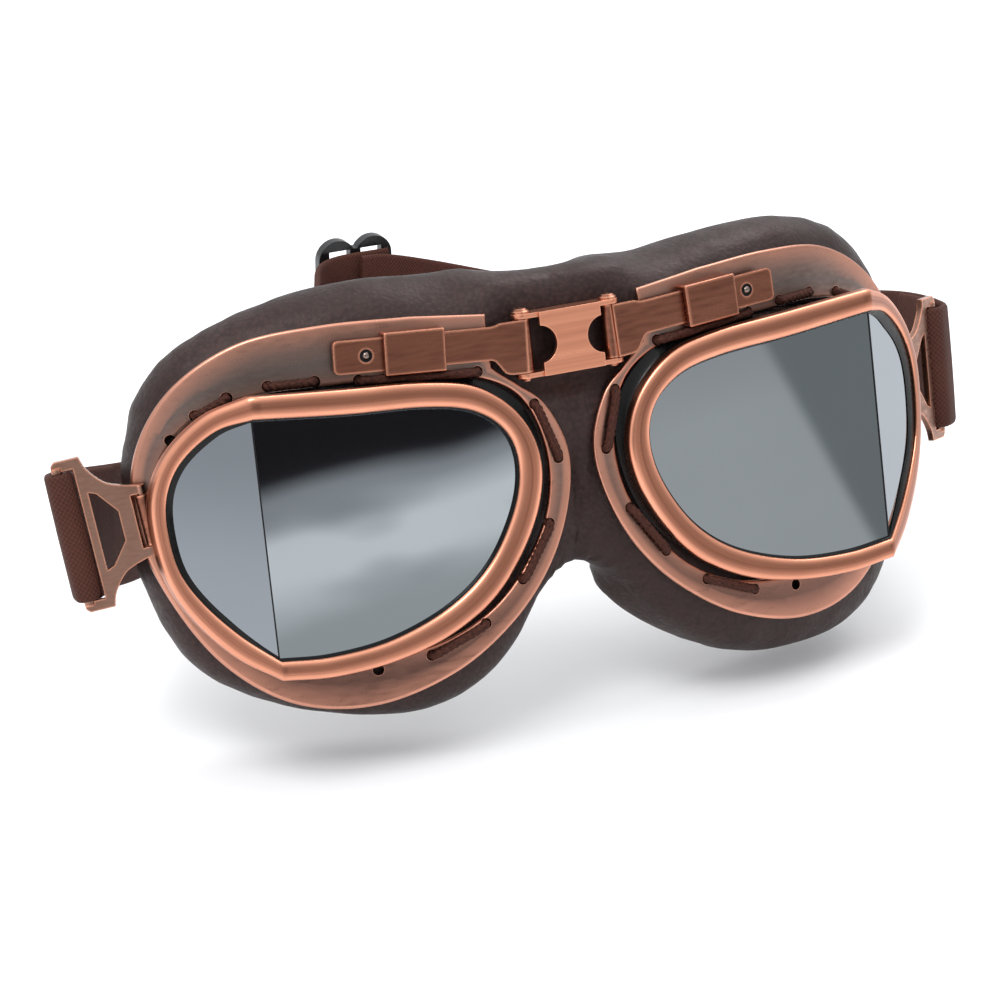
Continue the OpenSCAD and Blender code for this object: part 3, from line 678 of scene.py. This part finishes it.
def plate_sheet(name, side, outer_line):
    """The plate as one closed grid round its opening, with turned edges."""
    inner_line = spline(PLATE_IN, 12, closed=True)
    corners = [math.atan2(*(np.array(c) - PLATE_CENTRE)[::-1]) for c in (PLATE_TONGUE[-1], PLATE_OUT[0])]
    angles = np.sort(np.concatenate([np.linspace(-math.pi, math.pi, 361)[:-1], corners]))
    ray = np.stack([np.cos(angles), np.sin(angles)], 1)
    r_in, r_out = polar(inner_line, PLATE_CENTRE, angles), polar(outer_line, PLATE_CENTRE, angles)
    a, b = PLATE_CENTRE + ray * r_in[:, None], PLATE_CENTRE + ray * r_out[:, None]
    width = (r_out - r_in)[:, None]
    loops = [(np.minimum(d / width, 0.5), y, rubbed) for d, y, rubbed, _ in EDGE_LOOPS]
    loops += [(1 - np.minimum(d / width, 0.5), y, rubbed) for d, y, _, rubbed in reversed(EDGE_LOOPS)]
    loops += [(np.full_like(width, share), y, BACK_WEAR) for share, y in BACK_LOOPS]
    rows = []
    for share, y, _ in loops:
        p = a * (1 - share) + b * share
        rows.append(np.stack([p[:, 0], plate_y(p[:, 0], p[:, 1]) + y, p[:, 1]], 1))
    return grid(name, stand(np.stack(rows, 1), side), wear=[loop[2] for loop in loops], angle=50)


def plate_mesh(name, side):
    """The plate with its lacing holes."""
    outer_line = np.concatenate([spline(PLATE_OUT, 12), spline(PLATE_TONGUE, 8)[1:],
                                 np.linspace(PLATE_TONGUE[-1], PLATE_OUT[0], 6)[1:-1]])
    ob = plate_sheet(name, side, outer_line)
    cutters = []
    for x, z in (hole for hole in LACE_HOLES if inside(hole, outer_line)):
        y = float(plate_y(x, z))
        cutters.append(tube("cutter", stand([[x, y - 2, z], [x, y + 3, z]], side), HOLE_R * MM, 32))
    cutter = join("cutters", cutters)
    cut = ob.modifiers.new("holes", "BOOLEAN")
    cut.object, cut.operation, cut.solver = cutter, "DIFFERENCE", "EXACT"
    apply_modifiers(ob)
    shade(ob.data, 50)
    bpy.data.objects.remove(cutter)
    return ob


LACE_R = 0.8
STRAND_PITCH = 3.4
OVER_PLATE = LACE_R + 0.05
# How far along the plate and in front of it each end of a stitch goes
STITCH_END = [(0, -PLATE_T - 0.1), (0, -0.3), (0.35, 0.5), (1.3, OVER_PLATE)]


def twist(phi, s):
    """Three strands laid round each other."""
    return 1 + 0.13 * np.cos(3 * (phi - s / (STRAND_PITCH * MM / (2 * math.pi))))


def stitch_mesh(side, p, q):
    """One visible stitch of the lacing, from hole p over the plate to hole q."""
    ahead = unit(q - p)
    route = [(p + ahead * d, h) for d, h in STITCH_END]
    route += [(p * (1 - t) + q * t, OVER_PLATE) for t in (0.35, 0.65)]
    route += [(q - ahead * d, h) for d, h in reversed(STITCH_END)]
    path = spline([(x, float(plate_y(x, z)) - up, z) for (x, z), up in route], 7)
    return tube("stitch", stand(path, side), LACE_R * MM, 18, ripple=twist)


for name, side in SIDES.items():
    plate = plate_mesh(f"frame_plate_{name}_formed", side)
    finish_piece(plate, f"eyecup_{name}", plate_metal, "plate", f"frame_plate_{name}")
    stitches = [stitch_mesh(side, LACE_HOLES[start], LACE_HOLES[end]) for start, end in STITCHES]
    finish_piece(join(f"lace_{name}_laid", stitches), f"eyecup_{name}", lace_cord, "lace", f"lace_{name}")

# ---- bridge, arms and buckles
# Each CAD node that gets rounded edges: its body, the rounding in mm and its metal. The bridge link's
# brighter copper is a painted highlight.
ROUNDED = {"bridge_link": ("bridge", 0.28, copper_with_painted_highlight), "bridge_arm_{}": ("arm_{}", 0.3, copper),
           "clamp_block_{}": ("eyecup_{}", 0.35, copper), "buckle_lug_{}": ("eyecup_{}", 0.2, copper),
           "strap_buckle_{}": ("buckle_{}", 0.28, worn_copper)}
for node, (body, width, metal) in ROUNDED.items():
    for name in (SIDES if "{}" in node else [""]):
        piece = bevelled_copy(node.format(name), width)
        finish_piece(piece, body.format(name), metal, "copper", node.format(name))

paint("hinge_pins", copper)
for name in SIDES:
    paint(f"lens_front_{name}", lens_glass[name])
    paint(f"lens_side_{name}", lens_glass[name])

# The width stop: a small steel pin head in a black dish, STOP_U along the arm. The black dish is painted
# shade that stands for the dark hole round the pin.
ARM_START, ARM_END = np.array([10.4, -10.8]), np.array([45.6, -5.65])
ARM_Z, ARM_RISE, ARM_HALF_T = 48.8, math.radians(3), 0.45
STOP_U = 29.4
# The hole part is a black dish on the arm's face: painted shade for the hole.
STOP_PARTS = {"hole": ([(1.2, 0), (1.2, 0.06), (1.0, 0.1), (0.98, -0.1), (0.2, -0.15)], rubber, "steel"),
              "pin": ([(0.72, -0.2), (0.72, 0.02), (0.6, 0.22), (0.35, 0.36), (0.02, 0.4)], steel, "steel")}


def turned(name, centre, axis, profile, sides=28):
    """A round part turned about an axis, from radius and height in mm."""
    across = unit(np.cross(axis, [0, 0, 1.0]))
    other = np.cross(axis, across)
    phi = np.arange(sides)[:, None] * 2 * math.pi / sides
    ring = np.cos(phi) * across + np.sin(phi) * other
    rows = [centre + axis * h * MM + ring * r * MM for r, h in profile]
    return grid(name, rows, closed_u=False, angle=40)


for name, side in SIDES.items():
    along = unit(ARM_END - ARM_START)
    x, y = ARM_START + along * STOP_U * math.cos(ARM_RISE)
    face = np.array([along[1], -along[0], 0]) * ARM_HALF_T
    spot = np.array([x, y, ARM_Z + STOP_U * math.sin(ARM_RISE)]) + face
    tip = spot + face
    centre, ahead = stand(spot, side), unit(stand(tip, side) - stand(spot, side))
    for part, (profile, material, slot) in STOP_PARTS.items():
        replaced = [f"width_stop_{name}"] if part == "hole" else []
        finish_piece(turned(f"width_stop_{name}_{part}", centre, ahead, profile), f"arm_{name}", material,
                     slot, *replaced)

# ---- leather mask
# Section of the padding: share of the width and of the depth, inside the leather's final skin
PAD_SECTION = [(0.06, 0.16), (0.14, 0.05), (0.4, 0.02), (0.62, 0.05), (0.84, 0.16), (0.93, 0.42),
               (0.93, 0.66), (0.83, 0.88), (0.6, 0.95), (0.25, 0.95), (0.1, 0.84)]
PAD_GAP, PAD_STEPS = 0.3, 72
# Padding across the nose at each x: front y, back y, bottom z, top z
NOSE_SECTIONS = [(0, -6.6, 3.0, 4.2, 61.4), (5, -7.3, 5.0, 1.6, 61.4), (10, -7.8, 8.0, -1.0, 61.3),
                 (15, -7.4, 9.0, -3.0, 61.6)]


def eyecup_pad(name, side):
    """The padding of one eyecup as a rough closed ring."""
    rows = []
    for a, b in zip(around(CUSHION_IN, PAD_STEPS), around(LEATHER_OUT[name], PAD_STEPS)):
        row = []
        for share, deep in PAD_SECTION:
            x, z = a * (1 - share) + b * share
            y = float(plate_y(x, z)) + PLATE_T + PAD_GAP + deep * float(cushion_depth(x))
            row.append((x, y, z))
        rows.append(row)
    return grid("pad", stand(rows, side))


def nose_pad():
    """The padding across the nose, with a rounded front and a back that slopes in below."""
    rows = []
    for x, front, back, low, high in [(-x, *rest) for x, *rest in NOSE_SECTIONS[:0:-1]] + NOSE_SECTIONS:
        t = np.linspace(0, 1, 12)
        up = low + (high - low) * t
        row = [(x, front + 1.2 * (1 - math.sin(math.pi * s)) ** 4, z) for s, z in zip(t, up)]
        row += [(x, back - 4.0 * (1 - s) ** 2, z) for s, z in zip(t[::-1], up[::-1])]
        rows.append(row)
    return grid("nose", stand(rows), closed_u=False)


def pad_mesh():
    """The padding of both eyecups and the nose as rough closed solids."""
    bm = bmesh.new()
    for part in [eyecup_pad(name, side) for name, side in SIDES.items()] + [nose_pad()]:
        bm.from_mesh(part.data)
        bpy.data.objects.remove(part)
    mesh = bpy.data.meshes.new("mask")
    bm.to_mesh(mesh)
    bm.free()
    return mesh


CLOTH = {"quality": 6, "mass": 0.2, "tension_stiffness": 12, "compression_stiffness": 12,
         "shear_stiffness": 5, "bending_stiffness": 0.4, "use_pressure": True}
CLOTH_FRAMES = 20
# In metres: the skin's mesh, how far it swells, and how close it comes to the table
VOXEL, SWELL, TABLE_GAP = 0.0026, 0.0035, 0.0002
NOSE_FRONT = -6.7


def inflate(ob, pressure, cap):
    """Blows the skin up as cloth over its padding, each point by at most cap metres."""
    before = read_points(ob.data)
    cloth = ob.modifiers.new("cloth", "CLOTH")
    for key, value in CLOTH.items():
        setattr(cloth.settings, key, value)
    cloth.settings.uniform_pressure_force = pressure
    cloth.settings.effector_weights.gravity = 0
    cloth.collision_settings.use_collision = False
    scene = bpy.context.scene
    for number in range(1, CLOTH_FRAMES + 1):
        scene.frame_set(number)
    settled = ob.evaluated_get(bpy.context.evaluated_depsgraph_get()).to_mesh()
    move = read_points(settled) - before
    ob.modifiers.clear()
    scene.frame_set(1)
    length = np.linalg.norm(move, axis=1, keepdims=True)
    write_points(ob.data, before + move * np.minimum(1, cap / np.maximum(length, 1e-9)))


def unstand(points):
    """The frame's points in metres back to the upright design's mm."""
    p = points / MM + CENTRE
    c, s = math.cos(LEAN), math.sin(LEAN)
    return np.stack([p[:, 0], p[:, 1] * c - p[:, 2] * s, p[:, 1] * s + p[:, 2] * c], 1)


def even_out(mesh, points, share, rounds):
    """Moves each point towards the middle of its neighbours, by its own share, in rounds."""
    ends = np.empty(len(mesh.edges) * 2, np.int32)
    mesh.edges.foreach_get("vertices", ends)
    a, b = np.concatenate([ends[::2], ends[1::2]]), np.concatenate([ends[1::2], ends[::2]])
    count = np.bincount(a, minlength=len(points))[:, None]
    for _ in range(rounds):
        middle = np.stack([np.bincount(a, points[b, k], len(points)) for k in range(3)], 1) / count
        points = points + (middle - points) * 0.6 * share[:, None]
    return points


def keep_clear(x, y, z):
    """The leather's depths, pressed flat behind the plates and clear of the hinges and the link."""
    reach = np.abs(x)
    edge = polar(np.concatenate([spline(PLATE_OUT, 6), PLATE_TONGUE]), PLATE_CENTRE,
                 np.arctan2(z - PLATE_CENTRE[1], reach - PLATE_CENTRE[0]))
    under = edge - np.hypot(reach - PLATE_CENTRE[0], z - PLATE_CENTRE[1])
    limit = plate_y(reach, z) + PLATE_T + 0.15 - 40 * smoothstep(0.3, -1.0, under)
    y = np.where(y < limit, limit, y)
    behind = 0.9 * smoothstep(34, 40, z) * smoothstep(19, 14, reach)
    return np.where((y < NOSE_FRONT) & (behind > 0), y * (1 - behind) + behind * NOSE_FRONT, y)


def tuck_flaps(x, y, z):
    """The flaps beside the nose turn inwards behind it."""
    reach = np.abs(x)
    turn = smoothstep(26, 10, reach) * smoothstep(8, -4, z) * smoothstep(-4, 8, y)
    return np.sign(x) * np.maximum(reach - 4.5 * turn, np.minimum(reach, 0.4))


def sew(x, y, z):
    """A sewn seam down the nose, soft puckers that run up from the nose arch, and uneven padding."""
    y = y + 0.55 * np.exp(-(x / 0.7) ** 2) * (y < 2)
    angle = np.arctan2(x, z + 2)
    pull = np.exp(-(np.abs(x) / 10) ** 2) * np.exp(-((z - 5) / 13) ** 2)
    y = y + pull * 0.38 * np.sin(angle * 17 + 1.1 * np.sin(z * 0.3))
    soft = np.array([noise.noise(Vector((a * 0.09, b * 0.12, c * 0.09))) for a, b, c in zip(x, y, z)])
    return y + 0.35 * soft * (y > 0)


def build_mask():
    """The leather over both eyecups and the nose: one skin blown up over its padding, then dressed."""
    mask = new_object("mask", pad_mesh())
    remesh = mask.modifiers.new("remesh", "REMESH")
    remesh.mode, remesh.voxel_size = "VOXEL", VOXEL
    smooth = mask.modifiers.new("smooth", "SMOOTH")
    smooth.factor, smooth.iterations = 0.5, 6
    apply_modifiers(mask)
    inflate(mask, pressure=4.0, cap=SWELL)
    relax = mask.modifiers.new("relax", "SMOOTH")
    relax.factor, relax.iterations = 0.5, 2
    fine = mask.modifiers.new("fine", "SUBSURF")
    fine.levels = fine.render_levels = 1
    apply_modifiers(mask)
    x, y, z = unstand(read_points(mask.data)).T
    y = keep_clear(x, y, z)
    # Above the hinges the three pads are one even roll
    free = smoothstep(50, 55, z) * smoothstep(34, 22, np.abs(x))
    x, y, z = even_out(mask.data, np.stack([x, y, z], 1), free, 18).T
    x = tuck_flaps(x, y, z)
    row = stand(np.stack([x, sew(x, y, z), z], 1))
    row[:, 2] = np.maximum(row[:, 2], TABLE_GAP)
    write_points(mask.data, row)
    return mask


def cut_piece(mask, name, low, high):
    """The part of the mask between two planes across it, shaded as the whole mask is."""
    bm = bmesh.new()
    bm.from_mesh(mask.data)
    bm.normal_update()
    layers = [bm.verts.layers.float.new(f"n{k}") for k in range(3)]
    for v in bm.verts:
        for k in range(3):
            v[layers[k]] = v.normal[k]
    for edge, sign in ((low, -1), (high, 1)):
        if edge is not None:
            plane = ((edge - CENTRE[0]) * MM, 0, 0)
            bmesh.ops.bisect_plane(bm, geom=bm.verts[:] + bm.edges[:] + bm.faces[:], plane_co=plane,
                                   plane_no=(sign, 0, 0), clear_outer=True, dist=1e-7)
    mesh = bpy.data.meshes.new(name)
    normals = [Vector([v[layer] for layer in layers]).normalized() for v in bm.verts]
    for k in range(3):
        bm.verts.layers.float.remove(bm.verts.layers.float[f"n{k}"])
    for face in bm.faces:
        face.smooth = True
    bm.to_mesh(mesh)
    bm.free()
    mesh.normals_split_custom_set_from_vertices(normals)
    return new_object(name, mesh)


mask = build_mask()
# Each piece of the mask lies between two x and bends between the two bodies whose hinge it crosses
SEAM_X, BEND_X = 9, 14
MASK_PIECES = {
    "mask_left": (None, -SEAM_X, "arm_left", "eyecup_left", -SEAM_X, -BEND_X, "cushion_left"),
    "mask_nose_left": (-SEAM_X, 0, "bridge", "arm_left", 0, -SEAM_X, "nose_pad"),
    "mask_nose_right": (0, SEAM_X, "bridge", "arm_right", 0, SEAM_X, "nose_pad"),
    "mask_right": (SEAM_X, None, "arm_right", "eyecup_right", SEAM_X, BEND_X, "cushion_right"),
}
for name, (low, high, body_a, body_b, start, end, node) in MASK_PIECES.items():
    piece = cut_piece(mask, name, low, high)
    finish_piece(piece, None, leather, "leather", node)
    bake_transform(piece, body_a, body_b, start=tuple(stand([start, 0, 20])), end=tuple(stand([end, 0, 20])))
bpy.data.objects.remove(mask)

# Face lining: a soft fleece ring with a rolled edge on the back of each cushion
LINING_SECTION = [(0.1, -0.3), (0.14, 0.5), (0.22, 1.1), (0.31, 1.4), (0.4, 1.1), (0.48, 0.5), (0.52, -0.3)]
LINING_STEPS = 2 * PAD_STEPS
LINING_GAP = 0.25


def lining_mesh(name, side):
    rows = []
    sides = zip(around(CUSHION_IN, LINING_STEPS), around(LEATHER_OUT[name], LINING_STEPS))
    for i, (a, b) in enumerate(sides):
        row = []
        for share, lift in LINING_SECTION:
            x, z = a * (1 - share) + b * share
            y = float(plate_y(x, z)) + PLATE_T + LINING_GAP + float(cushion_depth(x)) + lift
            row.append((x, y + 0.12 * math.sin(i * 0.9) * (lift > 1), z))
        rows.append(row)
    return grid(f"face_lining_{name}_soft", stand(rows, side), angle=60)


for name, side in SIDES.items():
    lining = lining_mesh(name, side)
    finish_piece(lining, f"eyecup_{name}", fleece, "lining", f"face_lining_{name}")

# ---- strap
# The webbing's middle line in mm from the bridge's middle and above the table, from each buckle's bar
STRAP_W, STRAP_T = 24, 1.5
LEFT_RUN = [[-94.1, 18.9, 45.5], [-90.8, 23.2, 43.6], [-86.2, 29.2, 41.2], [-78, 38.4, 37.2],
            [-66, 52.5, 31.6], [-50, 74, 25.2], [-30, 100, 19.6], [-7, 128, 16.4], [14, 152, 15],
            [22, 168, 15], [26.6, 177.6, 15], [31, 181.6, 15], [36, 182.8, 15], [46, 182.8, 15]]
RIGHT_RUN = [[93.2, 21.6, 46.5], [96.4, 26.4, 45.2], [98.8, 34.4, 43.5], [99.5, 48, 40],
             [97.4, 66, 34.4], [92.6, 88, 27.4], [85, 112, 20.8], [74.6, 136, 16.2],
             [62.6, 158, 14.4], [53, 172.2, 14.2], [44, 179.7, 14.8], [38, 180.3, 15]]
# Each buckle's bar: a point of its axis and its direction
STRAP_BARS = {"left": ([-92.96, 17.43, 46.07], [-0.1145, 0.2806, 0.953]),
              "right": ([91.5, 20.76, 46.75], [0.0145, 0.2514, 0.9678])}
# Webbing section: share of half the width, share of half the thickness
WEB_SECTION = [(-1, 0), (-0.985, 0.6), (-0.94, 0.95), (-0.5, 1.06), (0, 1.1), (0.5, 1.06), (0.94, 0.95),
               (0.985, 0.6), (1, 0), (0.985, -0.6), (0.94, -0.95), (0.5, -1.06), (0, -1.1), (-0.5, -1.06),
               (-0.94, -0.95), (-0.985, -0.6)]
LOOP_R, LOOP_STEPS = 1.95, 13
# The tail lies TAIL_GAP inside the run and ends TAIL along it; by UPRIGHT along it the webbing stands upright
TAIL, TAIL_GAP, UPRIGHT = 22, 1.62, 34
SKY = np.array([0, 0, 1.0])


def ribbon(name, path, ups):
    """Webbing along a path in mm, standing on edge along ups."""
    tangent = unit(np.gradient(path, axis=0))
    up = unit(ups - tangent * (ups * tangent).sum(1)[:, None])
    out = np.cross(tangent, up)
    rows = [[path[i] + up[i] * (a * STRAP_W / 2) + out[i] * (b * STRAP_T / 2) for a, b in WEB_SECTION]
            for i in range(len(path))]
    return grid(name, table(rows), closed_u=False, angle=60)


def strap_path(name, run):
    """Out along the tail on the inside, round the bar and back along the outside, with the way up."""
    bar, bar_up = (np.array(v, float) for v in STRAP_BARS[name])
    line, s = resample(spline(run, 10), 1.5)
    ahead = unit(line[1] - bar)
    ahead = unit(ahead - bar_up * (ahead @ bar_up))
    outward = np.cross(ahead, bar_up)
    if outward[0] * SIDES[name] < 0:
        outward = -outward
    away = np.cross(unit(np.gradient(line, axis=0)), SKY)
    away = unit(away) * np.sign((away @ outward))[:, None]
    end = int(np.searchsorted(s, TAIL))
    tail = [line[i] - away[i] * (TAIL_GAP + 0.33 * max(0, 1 - s[i] / 12)) for i in range(end, 1, -1)]
    angles = np.linspace(0, math.pi, LOOP_STEPS)
    loop = [bar - outward * LOOP_R * math.cos(a) - ahead * LOOP_R * math.sin(a) for a in angles]
    lead = [line[i] + away[i] * LOOP_R * float(smoothstep(14, 0, s[i])) for i in range(2, len(line))]
    path = np.array(tail + loop + lead)
    upright = np.concatenate([smoothstep(0, UPRIGHT, s[end:1:-1]), np.zeros(LOOP_STEPS),
                              smoothstep(0, UPRIGHT, s[2:])])[:, None]
    for _ in range(2):
        path[1:-1] = path[1:-1] * 0.6 + (path[:-2] + path[2:]) * 0.2
    return path, bar_up * (1 - upright) + SKY * upright


for name, run in (("left", LEFT_RUN), ("right", RIGHT_RUN)):
    path, ups = strap_path(name, run)
    strap = ribbon(f"strap_{name}_webbing", path, ups)
    finish_piece(strap, f"strap_{name}", webbing, "webbing", f"strap_{name}")

slider = bevelled_copy("strap_slider", 0.7, segments=4)
finish_piece(slider, "slider", black_nylon, "slider", "strap_slider")


# ---- studio
def rectangle(name, half_width, half_height):
    mesh = bpy.data.meshes.new(name)
    w, h = half_width, half_height
    mesh.from_pydata([(-w, -h, 0), (w, -h, 0), (w, h, 0), (-w, h, 0)], [], [(0, 1, 2, 3)])
    return mesh


def add_floor():
    mesh = rectangle("floor", 12, 12)
    n = Material("floor", Base_Color=(0.86, 0.86, 0.87, 1), Roughness=0.9)
    mesh.materials.append(n.made)
    floor = new_object("floor", mesh)
    floor.location.z = -0.0001


# The way the studio's dim front and its flag face the goggles, and the flag's middle in metres
FRONT = (0.342, -0.94, 0)
FLAG_FACING = math.radians(25)
FLAG_CENTRE = (0.44488, -1.086939, 0.30)


def add_flag():
    """A dark studio flag with grey panels: only what the lenses and the metal reflect."""
    mesh = rectangle("flag", 0.34, 0.30)
    n = Material("flag", Base_Color=(0, 0, 0, 1), Roughness=1.0)
    across, height = n.add("ShaderNodeSeparateXYZ", {0: n.coords("Object")}).outputs[:2]
    wave = n.noise(n.coords("Object", (9, 16, 1)), 1.5)
    rise = n.math("ADD", height, n.ramp(wave, 0.3, 0.7, -0.006, 0.006))
    rise = n.math("ADD", rise, n.math("MULTIPLY", n.math("SUBTRACT", across, 0.135), 0.06))
    cloud = n.noise(n.coords("Object", (11, 26, 1)), 2.0)
    # What the left eyecup shows: dark above, a cloudy light band, then grey
    left = n.mix(n.ramp(rise, -0.160, -0.170), (0.009, 0.007, 0.009, 1), (0.38, 0.39, 0.40, 1))
    band = n.math("MULTIPLY", n.ramp(rise, -0.172, -0.190), n.ramp(cloud, 0.33, 0.55))
    left = n.mix(band, left, (0.95, 0.96, 0.95, 1))
    left = n.mix(n.ramp(rise, -0.208, -0.232), left, (0.50, 0.52, 0.51, 1))
    # What the right eyecup shows: light grey with a darker panel towards the temple
    right = n.mix(n.ramp(rise, -0.215, -0.19), (0.47, 0.475, 0.46, 1), (0.41, 0.415, 0.41, 1))
    edge = n.math("SUBTRACT", across, n.math("MULTIPLY", height, 0.297))
    right = n.mix(n.ramp(edge, -0.133, -0.138), right, (0.205, 0.215, 0.21, 1))
    panels = n.mix(n.ramp(across, -0.03, 0.045), right, left)
    n.out(n.mix(n.ramp(height, -0.137, -0.115), panels, (0.32, 0.32, 0.32, 1)), "Emission Color")
    n.out(2.2, "Emission Strength")
    mesh.materials.append(n.made)
    flag = new_object("flag", mesh)
    back, up = Vector((-math.sin(FLAG_FACING), math.cos(FLAG_FACING), 0)), Vector((0, 0, 1))
    flag.matrix_world = placed(Vector(FLAG_CENTRE), up.cross(back), up, back)
    flag.visible_camera = flag.visible_diffuse = flag.visible_shadow = flag.visible_transmission = False


def add_light(name, location, size, power):
    data = bpy.data.lights.new(name, "AREA")
    data.shape, data.size, data.energy = "DISK", size, power
    light = bpy.data.objects.new(name, data)
    aim = (-Vector(location)).to_track_quat("-Z", "Y").to_matrix().to_4x4()
    light.matrix_world = Matrix.Translation(location) @ aim
    bpy.context.scene.collection.objects.link(light)


def add_world():
    """White behind everything, and a soft studio for light: bright above and behind, dim in front."""
    world = bpy.data.worlds.new("studio")
    n = Nodes(world, "Background", Color=(0.97, 0.985, 1.0, 1))
    way = n.add("ShaderNodeTexCoord").outputs["Generated"]
    height = n.add("ShaderNodeSeparateXYZ", {0: way}).outputs[2]
    ahead = n.add("ShaderNodeVectorMath", {0: way, 1: FRONT}, operation="DOT_PRODUCT").outputs["Value"]
    front = n.ramp(ahead, 0.97, 0.4, 0.16, 0.95)
    level = n.add("ShaderNodeMix", {0: n.ramp(height, 0.25, 0.8), 2: front, 3: 1.35}).outputs[0]
    seen = n.add("ShaderNodeLightPath").outputs["Is Camera Ray"]
    n.out(n.add("ShaderNodeMix", {0: seen, 2: level, 3: 1.0}).outputs[0], "Strength")
    bpy.context.scene.world = world


add_floor()
add_flag()
add_world()
add_light("key", (-0.7, -0.5, 1.5), 0.9, 14)
add_light("fill", (0.9, 0.4, 1.3), 0.8, 8)
bpy.context.scene.view_settings.view_transform = "Standard"
